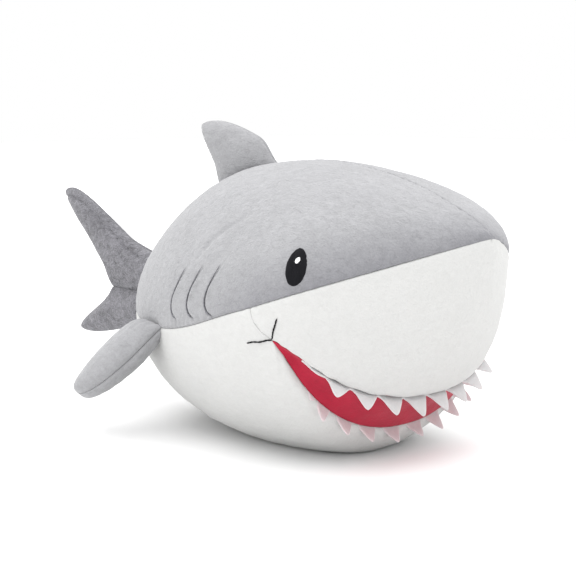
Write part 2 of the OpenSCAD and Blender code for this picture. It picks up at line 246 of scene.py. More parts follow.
def new_object(name, vertices, faces, material, body, slot, replaces=(), merge=True, fill=None):
    mesh = bpy.data.meshes.new(name)
    mesh.from_pydata((np.asarray(vertices).reshape(-1, 3) * MM).tolist(), [], faces)
    bm = bmesh.new()
    bm.from_mesh(mesh)
    if merge:
        bmesh.ops.remove_doubles(bm, verts=bm.verts, dist=2e-6)
    bmesh.ops.recalc_face_normals(bm, faces=bm.faces)
    bm.to_mesh(mesh)
    bm.free()
    mesh.polygons.foreach_set("use_smooth", [True] * len(mesh.polygons))
    mesh.materials.append(material)
    obj = bpy.data.objects.new(name, mesh)
    bpy.context.scene.collection.objects.link(obj)
    if isinstance(body, tuple):
        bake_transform(obj)
    else:
        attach(obj, body)
    if replaces:
        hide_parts(*replaces)
    return obj


def shell_faces(rows, cols):
    """Faces of a closed layer between an outer and an inner grid."""
    k = np.arange(rows * cols).reshape(rows, cols)
    top = np.stack([k[:-1, :-1], k[:-1, 1:], k[1:, 1:], k[1:, :-1]], -1).reshape(-1, 4)
    under = top[:, ::-1] + rows * cols
    rim = np.concatenate([k[0, :], k[1:, -1], k[-1, -2::-1], k[-2::-1, 0]])
    edge = np.stack([rim[1:], rim[:-1], rim[:-1] + rows * cols, rim[1:] + rows * cols], -1)
    return np.concatenate([top, under, edge]).tolist()


def shell(name, outer, inner, *args, **kwargs):
    rows, cols = outer.shape[:2]
    points = np.concatenate([outer.reshape(-1, 3), inner.reshape(-1, 3)])
    return new_object(name, points, shell_faces(rows, cols), *args, **kwargs)


def rings(name, grid, *args, **kwargs):
    """A closed solid through rings of points, with its end rings capped."""
    rows, cols = grid.shape[:2]
    k = np.arange(rows * cols).reshape(rows, cols)
    n = np.roll(k, -1, axis=1)
    wall = np.stack([k[:-1], k[1:], n[1:], n[:-1]], -1).reshape(-1, 4).tolist()
    caps = [k[0].tolist(), k[-1, ::-1].tolist()]
    return new_object(name, grid, wall + caps, *args, **kwargs)


# ---- Materials ----


# Sockets of the mix node's two colours and of its colour output
MIX_A, MIX_B, MIXED = 6, 7, 2


class Nodes:
    """Short ways to add nodes to a material."""

    def __init__(self, name):
        self.material = bpy.data.materials.new(name)
        self.material.use_nodes = True
        self.tree = self.material.node_tree
        self.shader = self.tree.nodes["Principled BSDF"]
        self.coords = self.add("ShaderNodeTexCoord").outputs["Object"]

    def add(self, kind, **settings):
        node = self.tree.nodes.new(kind)
        for key, value in settings.items():
            setattr(node, key, value)
        return node

    def link(self, a, b):
        self.tree.links.new(a, b)

    def stretched(self, scale):
        node = self.add("ShaderNodeMapping")
        node.inputs["Scale"].default_value = scale
        self.link(self.coords, node.inputs["Vector"])
        return node.outputs["Vector"]

    def noise(self, size_mm, vector=None, detail=2.0, rough=0.5, distortion=0.0):
        node = self.add("ShaderNodeTexNoise")
        node.inputs["Scale"].default_value = 1000.0 / size_mm
        node.inputs["Detail"].default_value = detail
        node.inputs["Roughness"].default_value = rough
        node.inputs["Distortion"].default_value = distortion
        self.link(vector or self.coords, node.inputs["Vector"])
        return node.outputs["Fac"]

    def ranged(self, value, low, high, to_low=0.0, to_high=1.0):
        node = self.add("ShaderNodeMapRange")
        self.link(value, node.inputs["Value"])
        for key, number in (("From Min", low), ("From Max", high), ("To Min", to_low), ("To Max", to_high)):
            node.inputs[key].default_value = number
        return node.outputs["Result"]

    def math(self, operation, a, b):
        node = self.add("ShaderNodeMath", operation=operation)
        for socket, value in zip(node.inputs, (a, b)):
            if isinstance(value, (int, float)):
                socket.default_value = value
            else:
                self.link(value, socket)
        return node.outputs[0]

    def blend(self, factor, a, b):
        node = self.add("ShaderNodeMix", data_type="RGBA")
        self.link(factor, node.inputs["Factor"])
        for socket, value in ((node.inputs[MIX_A], a), (node.inputs[MIX_B], b)):
            if isinstance(value, tuple):
                socket.default_value = (*value, 1.0)
            else:
                self.link(value, socket)
        return node.outputs[MIXED]

    def bump(self, height, distance_mm, strength=1.0, normal=None):
        node = self.add("ShaderNodeBump")
        node.inputs["Distance"].default_value = distance_mm * MM
        node.inputs["Strength"].default_value = strength
        self.link(height, node.inputs["Height"])
        if normal is not None:
            self.link(normal, node.inputs["Normal"])
        return node.outputs["Normal"]

    def finish(self, colour, normal, rough, sheen=0.0, sheen_rough=0.5, **sockets):
        s = self.shader
        self.link(colour, s.inputs["Base Color"])
        self.link(normal, s.inputs["Normal"])
        if isinstance(rough, float):
            s.inputs["Roughness"].default_value = rough
        else:
            self.link(rough, s.inputs["Roughness"])
        s.inputs["Sheen Weight"].default_value = sheen
        s.inputs["Sheen Roughness"].default_value = sheen_rough
        s.inputs["Specular IOR Level"].default_value = 0.2
        for key, value in sockets.items():
            s.inputs[key.replace("_", " ")].default_value = value
        return self.material


def shade(colour, k):
    return tuple(c * k for c in colour)


def painted_seam_shade(n):
    """Painted shade: the grey darkened above the side seam, from the eyes to the nose, where the fabric
    faces down and forwards and takes less light.
    """
    split = n.add("ShaderNodeSeparateXYZ")
    n.link(n.coords, split.inputs["Vector"])
    y, z = split.outputs["Y"], split.outputs["Z"]
    t = n.math("DIVIDE", n.math("ADD", y, NOSE_AHEAD * MM), BODY_LEN * MM)
    # seam_z written as NOSE_Z + slope * t + curve * t * t
    slope = (4 * MID_Z - 3 * NOSE_Z - TAIL_Z) * MM
    curve = 2 * (NOSE_Z - 2 * MID_Z + TAIL_Z) * MM
    rise = n.math("MULTIPLY", n.math("ADD", n.math("MULTIPLY", t, curve), slope), t)
    seam = n.math("ADD", rise, NOSE_Z * MM)
    band = n.ranged(n.math("SUBTRACT", z, seam), 0.0, 32 * MM, 1.0, 0.0)
    front = n.ranged(y, 0.0, -55 * MM)
    patches = n.ranged(n.noise(30.0, detail=2.0), 0.3, 0.7, 0.6, 1.0)
    return n.math("MULTIPLY", n.math("MULTIPLY", band, front), patches)


def plush(name, colour, contrast, grain, sheen, body=False):
    """Short-pile minky: clumps of nap that catch the light, over a fine grain."""
    n = Nodes(name)
    lying = n.stretched((1.0, 0.55, 1.0))
    clumps = n.noise(3.4, lying, detail=3.0, rough=0.65, distortion=0.6)
    fine = n.noise(0.8, lying, detail=2.0, rough=0.6)
    brushed = n.noise(26.0, detail=2.0)
    tone = n.math("ADD", n.math("MULTIPLY", clumps, 0.55), n.math("MULTIPLY", fine, 0.45))
    tone = n.ranged(tone, 0.34, 0.66)
    tinted = n.blend(tone, shade(colour, 1 - contrast), shade(colour, 1 + 0.6 * contrast))
    swept = n.ranged(brushed, 0.3, 0.7)
    patchy = n.blend(swept, shade(colour, 1 - 0.5 * contrast), shade(colour, 1 + 0.3 * contrast))
    both = n.add("ShaderNodeMix", data_type="RGBA")
    both.inputs["Factor"].default_value = 0.3
    n.link(tinted, both.inputs[MIX_A])
    n.link(patchy, both.inputs[MIX_B])
    shown = both.outputs[MIXED]
    # With body set, painted shade darkens the grey above the side seam, from the eyes to the nose.
    if body:
        shaded = n.add("ShaderNodeMix", data_type="RGBA", blend_type="MULTIPLY")
        n.link(painted_seam_shade(n), shaded.inputs["Factor"])
        n.link(shown, shaded.inputs[MIX_A])
        shaded.inputs[MIX_B].default_value = (0.66, 0.66, 0.69, 1.0)
        shown = shaded.outputs[MIXED]
    height = n.math("ADD", n.math("MULTIPLY", clumps, 0.7), n.math("MULTIPLY", fine, 0.3))
    normal = n.bump(height, grain, 0.8)
    return n.finish(shown, normal, n.ranged(clumps, 0.3, 0.7, 0.82, 0.98), sheen, 0.45)


def felt(name, colour):
    """Pressed fibres, matted without a direction."""
    n = Nodes(name)
    fibres = n.noise(1.1, detail=4.0, rough=0.7, distortion=1.5)
    mottle = n.noise(5.0, detail=2.0)
    both = n.math("ADD", n.math("MULTIPLY", fibres, 0.6), n.math("MULTIPLY", mottle, 0.4))
    tone = n.ranged(both, 0.35, 0.65)
    tinted = n.blend(tone, shade(colour, 0.93), shade(colour, 1.04))
    material = n.finish(tinted, n.bump(fibres, 0.25, 0.6), 0.95, 0.25, 0.5, Subsurface_Weight=0.35)
    n.shader.inputs["Subsurface Radius"].default_value = (1.0, 0.75, 0.75)
    n.shader.inputs["Subsurface Scale"].default_value = 2.0 * MM
    return material


def brushed(name, colour):
    """A brushed knit with a short, matt nap."""
    n = Nodes(name)
    nap = n.noise(1.6, n.stretched((1.0, 0.7, 1.0)), detail=3.0, rough=0.65, distortion=0.8)
    broad = n.noise(14.0, detail=2.0)
    tone = n.ranged(n.math("ADD", n.math("MULTIPLY", nap, 0.5), n.math("MULTIPLY", broad, 0.5)), 0.35, 0.65)
    tinted = n.blend(tone, shade(colour, 0.84), shade(colour, 1.1))
    return n.finish(tinted, n.bump(nap, 0.35, 0.7), n.ranged(nap, 0.3, 0.7, 0.8, 0.95), 0.15, 0.5)


def thread(name, colour, rough, pitch):
    """Rows of satin stitches: fine strands that shine along their length."""
    n = Nodes(name)
    strands = n.add("ShaderNodeTexWave", wave_type="BANDS", bands_direction="Z")
    strands.inputs["Scale"].default_value = 1000.0 / pitch / 3.2
    strands.inputs["Distortion"].default_value = 1.2
    strands.inputs["Detail"].default_value = 2.0
    strands.inputs["Detail Scale"].default_value = 0.6
    n.link(n.coords, strands.inputs["Vector"])
    fray = n.noise(0.9, detail=3.0, rough=0.7)
    tone = n.ranged(n.math("ADD", strands.outputs["Fac"], fray), 0.4, 1.5)
    tinted = n.blend(tone, shade(colour, 0.6), shade(colour, 1.5))
    normal = n.bump(strands.outputs["Fac"], 0.18, 0.8)
    material = n.finish(tinted, normal, n.ranged(fray, 0.3, 0.7, rough, rough + 0.2))
    n.shader.inputs["Specular IOR Level"].default_value = 0.12
    return material


def fibrefill(name, colour):
    """Loose polyester fibre."""
    n = Nodes(name)
    wisps = n.noise(2.4, detail=5.0, rough=0.75, distortion=2.0)
    clouds = n.noise(18.0, detail=2.0)
    tone = n.ranged(n.math("ADD", n.math("MULTIPLY", wisps, 0.5), n.math("MULTIPLY", clouds, 0.5)), 0.3, 0.7)
    tinted = n.blend(tone, shade(colour, 0.86), shade(colour, 1.04))
    return n.finish(tinted, n.bump(wisps, 1.2, 0.9), 0.95, 0.4, 0.5)


GREY = plush("minky_grey", (0.325, 0.325, 0.337), 0.22, 1.8, 0.3)
# The back panels' grey, with painted shade above the side seam from the eyes to the nose.
BACK_GREY_SEAM_SHADE = plush("minky_grey_back_seam_shade", (0.335, 0.335, 0.347), 0.22, 1.8, 0.3, body=True)
# A darker copy of the grey minky for the tail: its coarser nap is the fabric's, its darker colour is painted
# shade, as the tail lies in the body's shadow.
TAIL_GREY_SHADED = plush("minky_grey_tail_shaded", (0.2, 0.197, 0.215), 0.75, 4.0, 0.3)
WHITE = plush("minky_white", (0.57, 0.57, 0.562), 0.07, 0.8, 0.05)
CRIMSON = brushed("brushed_crimson", (0.38, 0.014, 0.038))
FELT = felt("felt_white", (0.56, 0.545, 0.55))
# The lower teeth's white felt, tinted pink with painted red light reflected from the mouth lining.
FELT_RED_BOUNCE = felt("felt_white_lower_red_bounce", (0.62, 0.54, 0.555))
BLACK_THREAD = thread("satin_black", (0.006, 0.006, 0.008), 0.55, 0.5)
# The gill stitches' thread, darker than the fabric: partly the real thread, partly painted shade of the
# folds' grooves.
GILL_THREAD_AND_SHADE = thread("thread_grey", (0.19, 0.19, 0.205), 0.7, 0.5)
WHITE_THREAD = thread("satin_white", (0.9, 0.9, 0.9), 0.5, 0.5)
FILLING = fibrefill("fibre_filling", (0.92, 0.91, 0.87))

# ---- The body's panels ----

CORNER = skin(CORNER_D, -CORNER_A)


def gill_line(g, t):
    """Distance behind the nose of gill line g, at a share t of its height."""
    return GILL_D + g * (GILL_PITCH + 1.5 * (1 - t)) + GILL_BOW * bump(t**0.68) - 4 * t * t


def gill_fold(x):
    """Profile of a stitched fold: a puffed edge on the nose side (x < 0) drops into a narrow valley."""
    puffed = 1.3 * np.exp(np.minimum(x, 0.0) / 6.0)
    valley = -0.9 * np.exp(-np.maximum(x, 0.0) / 6.0)
    return mix(puffed, valley, smooth((x + 0.8) / 1.6)) - 1.5 * bell(x - 0.5, 1.3)


def crease_line(side):
    """Distance behind the nose of the soft crease over the gills, which curves forwards as it climbs."""
    up = np.maximum(side - CREASE_A, 0.0)
    return CREASE_D - 0.85 * up - 0.055 * up * up


def relief(p, d, a):
    """How far the body's surface stands out from its plain shape, in mm."""
    side = np.where(np.abs(a) > 90, np.sign(a) * (180 - np.abs(a)), a)
    out = lumps(p) * smooth(d / 30)
    t = (side - 0.5) / GILL_SPAN
    shown = smooth((side + 1.5) / 3) * (1 - smooth((t - 0.6) / 0.5))
    for g in range(GILLS):
        x = (d - gill_line(g, clamp01((side - 1) / GILL_SPAN))) * 1.12
        out = out + shown * gill_fold(x)
    creased = smooth((side - 22) / 5) * (1 - smooth((side - 37) / 9))
    out = out - 0.9 * bell(d - crease_line(side), 3.0) * creased
    near = np.linalg.norm(p * [-1.0, 1, 1] - CORNER, axis=-1)
    corner = np.minimum(near, np.linalg.norm(p - CORNER, axis=-1))
    return out - 1.6 * bell(corner, 7.0)


def body_panel(name, d, a, edges, poles, material, slot, node, fill, mirror=False):
    """A fabric panel on the body. Edges give each seam's (radius, depth): first row, last row, first
    column, last column."""
    p = skin(d, a)
    out = outwards(d, a)
    turned = np.zeros(d.shape)
    pucker = np.zeros(d.shape)
    from_pole = np.minimum(d if poles[0] else 1e9, BODY_LEN - d if poles[1] else 1e9)
    ripple = np.sin(2 * np.pi * (p[..., 1] + 3 * noise(p, 20, 9)) / 5.5)
    for distance, edge in zip(edge_distances(p), edges):
        if edge is not None:
            radius, depth = edge
            turned = np.maximum(turned, roll(distance, radius, depth))
            pucker = pucker + 0.3 * np.sqrt(depth) * ripple * np.exp(-distance / 4.0)
    turned = turned * mix(0.35, 1.0, smooth(from_pole / 16))
    if mirror:
        p = p * [-1.0, 1, 1]
        out = out * [-1.0, 1, 1]
    lift = relief(p, d, a) + pucker - turned
    outer = p + out * (lift + pile(p))[..., None]
    inner = p + out * (lift - FABRIC_T)[..., None]
    outer[..., 2] = np.maximum(outer[..., 2], 0.0)
    inner[..., 2] = np.maximum(inner[..., 2], 0.8)
    return shell(name, outer, inner, material, "torso", slot, (node,), fill=fill)


FINE, COARSE = ((0.6, 2.0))
SIDE_ARC = 150.0
SEAM_HALF_GAP = 0.04
SIDE_SEAM = (2.6, 0.8)
MIDDLE_SEAM = (2.6, 0.8)


def lip_roll(b):
    """Radius and depth of the rolled lip, which fades into the flat cheek seam beyond the mouth corner."""
    wide = smooth((b - CORNER_A + 0.5) / 9.0)
    return mix(1.2, 7.0, wide), mix(0.3, 3.6, wide)


def back_panel(side, mirror):
    columns = (1 - np.cos(np.pi * np.linspace(0, 1, 210))) / 2 * BODY_LEN
    gills = np.arange(GILL_D - 6, GILL_D + 56, 0.4)
    columns = np.concatenate([columns[columns < gills[0]], gills, columns[columns > gills[-1]]])
    d, u = np.meshgrid(columns, spread(SIDE_ARC, FINE, COARSE))
    a = mix(SEAM_HALF_GAP - drop(d), 90.0, u)
    edges = (SIDE_SEAM, MIDDLE_SEAM, None, None)
    return body_panel(f"back_panel_{side}_plush", d, a, edges, (True, True), BACK_GREY_SEAM_SHADE, "plush_grey",
                      f"back_panel_{side}", 0.85, mirror)


def under_rows():
    """Angles below the seam, from the right side seam under the belly to the left one."""
    cheek_part = CORNER_A * spread(26.0, FINE, COARSE)
    mouth_part = mix(CORNER_A, 90.0, spread(130.0, FINE, COARSE, near_end=False))
    half = np.concatenate([cheek_part, mouth_part[1:]])
    half[0] = SEAM_HALF_GAP
    return np.concatenate([-half, half[-2::-1] - 180])


def muzzle_panel():
    rows = under_rows()[:, None]
    b = below_seam(rows)
    end = np.where(b < CORNER_A, cheek(b), upper_lip(b)) - 0.1
    u = spread(90.0, FINE, COARSE, near_start=False)[None, :]
    d = end * (1 - np.cos(np.pi / 2 * u)) ** 0.85
    a = rows * np.ones(d.shape)
    return body_panel("muzzle_panel_plush", d, a, (SIDE_SEAM, SIDE_SEAM, None, lip_roll(b)), (True, False),
                      WHITE, "plush_white", "muzzle_panel", 0.85)


def belly_panel():
    rows = under_rows()[:, None]
    b = below_seam(rows)
    start = np.where(b < CORNER_A, cheek(b), lower_lip(b)) + 0.1
    u = spread(280.0, FINE, COARSE * 1.1, near_end=False)[None, :]
    d = mix(start, BODY_LEN, np.sin(np.pi / 2 * u))
    under = b + drop(d) * (1 - b / 90)
    a = np.where(rows > -90, -under, under - 180)
    return body_panel("belly_panel_plush", d, a, (SIDE_SEAM, SIDE_SEAM, lip_roll(b), None), (False, True),
                      WHITE, "plush_white", "belly_panel", 0.85)


back_panel("right", False)
back_panel("left", True)
muzzle_panel()
belly_panel()

# ---- The mouth ----


def mouth_side(b, sign):
    """The angle a at b below the side seam, on the right (sign -1) or the left side."""
    return np.where(sign < 0, -b, b - 180)


def mouth_lining():
    half = mix(CORNER_A + 0.3, 90.0, spread(125.0, 1.0, 2.2, near_end=False))
    rows = np.concatenate([-half, half[-2::-1] - 180])[:, None]
    b = below_seam(rows)
    v = spread(26.0, 0.8, 1.4)[None, :]
    first, last = upper_lip(b) + 0.3, lower_lip(b) - 0.3
    d = mix(first, last, v)
    a = rows * np.ones(d.shape)
    p, out = skin(d, a), outwards(d, a)
    wide = smooth((b - CORNER_A) / 9.0)
    depth = mix(0.9, 3.4, wide) + 1.8 * bump(v) * wide
    depth = depth - 0.5 * noise(p, 13, 5) * bump(v) * wide - pile(p, 0.7)
    outer = p - out * depth[..., None]
    inner = outer - out * FABRIC_T
    shell("mouth_lining_knit", outer, inner, CRIMSON, "torso", "lining_crimson", ("mouth_lining",))


TOOTH_FOOT = 5.0
TOOTH_HALF_T = 0.9
TOOTH_BLUNT = 0.012
STRIP_MARGIN = 8.0
FIRST_TOOTH = -4
# A row: the place of tooth 0 along the lip from the middle (the right side is negative), the pitch there,
# how fast the pitch closes up towards the right and the left corner, and where the row stops on each side
UPPER_ROW = (-13.0, 20.0, (0.18, 0.27), (-90.0, 79.0))
LOWER_ROW = (-11.5, 21.8, (0.5, 1.0), (-84.0, 85.0))
# Each tooth of a row, from the right corner: its width and how far its tip stands out of the skin
UPPER_TEETH = [(20, 0.5), (17, 8.2), (18, 9.4), (18, 9.4), (19, 10.6), (18, 10.4), (18, 9.2), (17.5, 9.0),
               (16, 8.2), (14, 5.5)]
LOWER_TEETH = [(10, 3.5), (13, 8.4), (15, 7.8), (16, 7.2), (16, 7.6), (15, 7.8), (14, 8.6), (14, 8.4),
               (13, 8.4), (13, 9.2), (10, 7.0)]


def tooth_place(n, row):
    """Place of tooth n along the lip. The teeth stand closer together towards the mouth corners."""
    middle, pitch, closing, ends = row
    place = middle + pitch * n - math.copysign(closing[n > 0] * n * n, n)
    return min(max(place, ends[0]), ends[1])


def teeth(name, line, row, sizes, valley, lean, material, node):
    """A strip of felt cut into teeth, sewn into a lip."""
    b = np.linspace(90, CORNER_A + 1.5, 400)
    lip = skin(line(b), -b)
    length = along(lip[:, None, :], 0)[:, 0]
    ends = row[-1]
    x = np.arange(ends[0] - STRIP_MARGIN, ends[1] + STRIP_MARGIN, 0.6)
    height = np.full(x.shape, valley)
    shift = np.zeros(x.shape)
    rng = np.random.default_rng(len(name))
    for n, (width, tip) in enumerate(sizes, FIRST_TOOTH):
        f = (x - tooth_place(n, row)) / (width / 2)
        blade = np.maximum(0.0, 1 - np.sqrt(f * f + TOOTH_BLUNT)) / (1 - math.sqrt(TOOTH_BLUNT))
        blade = mix(blade, smooth(blade), 0.3)
        height = np.maximum(height, valley + (tip - valley) * blade)
        shift = shift + rng.uniform(-0.6, 0.6) * bell(f, 0.8)
    away_from_ends = smooth(np.minimum(x - x[0], x[-1] - x) / 18)
    height = mix(-3.5, height, away_from_ends)
    bb = np.interp(np.abs(x), length, b)
    a = mouth_side(bb, np.where(x <= 0, -1, 1))
    d = line(bb)
    out, back = outwards(d, a), tailwards(d, a)
    base = skin(d, a)
    v = spread(12.0, 0.5, 1.2, zone=2.0)[None, :, None]
    rise = -TOOTH_FOOT + (height[:, None, None] + TOOTH_FOOT) * v
    way = unit(out[:, None, :] + lean * back[:, None, :])
    spine = base[:, None, :] + way * np.maximum(rise, 0) + out[:, None, :] * np.minimum(rise, 0)
    spine = spine + back[:, None, :] * 0.9 * shift[:, None, None] * v**2
    face = unit(np.cross(np.gradient(spine, axis=0), np.gradient(spine, axis=1)))
    face = face * np.sign(np.sum(face * back[:, None, :], -1, keepdims=True))
    half = TOOTH_HALF_T * np.sqrt(np.maximum(0.05, 1 - v**6)) + 0.06 * noise(spine, 1.6, 6)[..., None]
    shell(name, spine + face * half, spine - face * half, material, "torso", "felt_white", (node,))


mouth_lining()
teeth("upper_teeth_felt", lambda b: upper_lip(b) + 0.9, UPPER_ROW, UPPER_TEETH, -2.4, 0.25, FELT,
      "upper_teeth")
teeth("lower_teeth_felt", lambda b: lower_lip(b) + 0.6, LOWER_ROW, LOWER_TEETH, -3.6, -0.1, FELT_RED_BOUNCE,
      "lower_teeth")

# ---- Embroidery ----


def patch(name, d, a, width, height, base, rise, material, slot, node, mirror, ridge, turn=0.0):
    """A padded oval of satin stitch lying on the fabric."""
    rho = np.sin(np.pi / 2 * np.linspace(0, 1, 22))[:, None]
    phi = np.linspace(0, 2 * np.pi, 97)[None, :-1]
    x, y = rho * np.cos(phi) * width / 2, rho * np.sin(phi) * height / 2
    stitched = 0.22 * noise(np.stack([x, y, 0 * x], -1), 1.1, 8) * rho**4
    x = x * (1 + stitched / (width / 2))
    y = y * (1 + stitched / (height / 2))
    rows = ridge * np.sin(2 * np.pi * y / 0.85 + 0.6 * noise(np.stack([x, y, 0 * x], -1), 4, 3))
    x, y = x * math.cos(turn) + y * math.sin(turn), y * math.cos(turn) - x * math.sin(turn)
    dd, aa = d + x / 1.02, a + y / mm_per_degree(d, a)
    p, out = skin(dd, aa), outwards(dd, aa)
    puffed = rise * (1 - rho**4) ** 0.7
    top = p + out * (base + puffed + rows * (1 - rho**8))[..., None]
    under = p + out * (base - 0.9)
    if mirror:
        top, under = top * [-1.0, 1, 1], under * [-1.0, 1, 1]
    grid = np.concatenate([top[:1] * 0 + top[0, 0], top[1:], under[::-3], under[:1] * 0 + under[0, 0]])
    rings(name, grid, material, "torso", slot, (node,))


def strand(name, paths, radius, material, slot, nodes, taper=0.0):
    """Twisted threads along lists of points."""
    points, faces = [], []
    for path in paths:
        path = np.asarray(path)
        step = unit(np.gradient(path, axis=0))
        side = unit(np.cross(step, [0.3, 0.2, 0.9]))
        up = np.cross(side, step)
        k = np.arange(len(path))[:, None]
        phi = np.linspace(0, 2 * np.pi, 9)[None, :-1]
        ends = np.sqrt(clamp01(np.minimum(k, len(path) - 1 - k) / 3.0) * 0.9 + 0.1)
        ends = ends * (1 - taper * (k / (len(path) - 1)) ** 2)
        r = radius * ends * (1 + 0.22 * np.cos(2 * phi + k * 0.9))
        ring = np.cos(phi)[..., None] * side[:, None] + np.sin(phi)[..., None] * up[:, None]
        ring = path[:, None] + r[..., None] * ring
        rows, cols = ring.shape[:2]
        n = np.arange(rows * cols).reshape(rows, cols) + sum(len(q) for q in points)
        m = np.roll(n, -1, axis=1)
        faces += np.stack([n[:-1], n[1:], m[1:], m[:-1]], -1).reshape(-1, 4).tolist()
        faces += [n[0].tolist(), n[-1, ::-1].tolist()]
        points.append(ring.reshape(-1, 3))
    new_object(name, np.concatenate(points), faces, material, "torso", slot, nodes, merge=False)


EYE_TURN = math.radians(12)
GLINT_W, GLINT_H = 2.9, 3.9
GILL_STITCHED = 0.94
# The gill thread lies on the far wall of each fold's groove, where its dark line also paints the groove's
# shade.
GILL_THREAD_D, GILL_THREAD_UP = 1.9, 0.65


def on_body(d, a, height, mirror):
    p = skin(d, a)
    q = p + outwards(d, a) * (relief(p, d, a) + height)[..., None]
    return q * [-1.0, 1, 1] if mirror else q


for side, mirror in (("right", False), ("left", True)):
    patch(f"eye_{side}_satin", EYE_D, EYE_A, EYE_W, EYE_H, 0.3, 1.5, BLACK_THREAD, "thread_black",
          f"eye_{side}", mirror, 0.1, EYE_TURN)
    patch(f"eye_glint_{side}_satin", EYE_D - 0.4, EYE_A + 3.2, GLINT_W, GLINT_H, 1.5, 0.9, WHITE_THREAD,
          "thread_white", f"eye_glint_{side}", mirror, 0.05)
    t = np.linspace(0, 1, 60)
    up = t * GILL_STITCHED
    gills = [on_body(gill_line(g, up) + GILL_THREAD_D, 1 + GILL_SPAN * up, GILL_THREAD_UP, mirror)
             for g in range(GILLS)]
    strand(f"gill_stitches_{side}_thread", gills, 0.5, GILL_THREAD_AND_SHADE, "thread_grey",
           (f"gill_stitches_{side}",), 0.75)
    t = np.linspace(0, 1, 40)
    wavy = 0.12 * np.sin(11 * t)
    strokes = [on_body(CORNER_D - 0.3 + 19.5 * t, 1.2 * t + wavy - CORNER_A, 0.3, mirror),
               on_body(CORNER_D - 0.3 - 6 * t, 0.2 + 6.2 * t - CORNER_A - wavy, 0.3, mirror)]
    strand(f"mouth_corner_stitches_{side}_thread", strokes, 0.46, BLACK_THREAD, "thread_black",
           (f"mouth_corner_stitches_{side}",))

# ---- Fins ----


def bezier(c, t):
    c, t = np.asarray(c, float), np.asarray(t, float)[..., None]
    return c[0] * (1 - t) ** 3 + 3 * c[1] * t * (1 - t) ** 2 + 3 * c[2] * t * t * (1 - t) + c[3] * t**3


def straight(a, b):
    return [a, mix(np.array(a), np.array(b), 1 / 3), mix(np.array(a), np.array(b), 2 / 3), b]


def chain(curves, t):
    n = len(curves)
    k = np.minimum(n - 1, np.floor(t * n).astype(int))
    return sum((k == i)[..., None] * bezier(c, clamp01(t * n - i)) for i, c in enumerate(curves))


# The share of a fin's length that its filling takes up. It starts clear of the root, so that a bent fin does
# not push it through the body's panels.
FILLED_FROM, FILLED_TO = 0.26, 0.86


